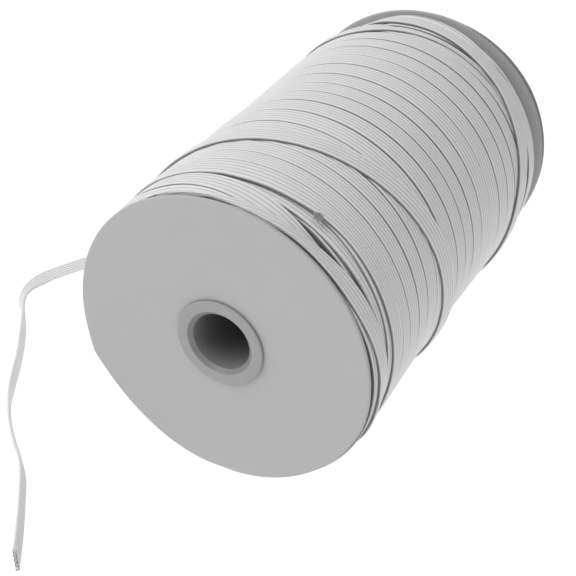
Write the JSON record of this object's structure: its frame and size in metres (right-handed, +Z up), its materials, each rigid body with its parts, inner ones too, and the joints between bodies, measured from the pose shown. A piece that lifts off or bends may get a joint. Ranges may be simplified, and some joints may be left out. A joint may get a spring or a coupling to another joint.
{
  "type": "roll of narrow braided elastic",
  "caption": "Flat braided elastic wound on a card and plastic spool, lying on its side with its loose end paid out on the surface.",
  "frame": {"origin": "on the surface the roll lies on, below the middle of the roll", "axes": "+Y along the roll's axis from the front disc to the back disc, +Z up; the loose end lies on the -X side"},
  "size_m": [0.1383, 0.1803, 0.0813],
  "materials": {
    "card": "matte white greyboard card, light fibre specks, soft cut rim",
    "hub_plastic": "satin white moulded polypropylene",
    "elastic": "matte white braided polyester over rubber, ribbed lengthwise"
  },
  "bodies": {
    "root": {"front_disc": "card", "back_disc": "card", "front_hub": "hub_plastic", "back_hub": "hub_plastic", "wound_elastic": "elastic", "loose_end": "elastic"}
  },
  "joints": []
}
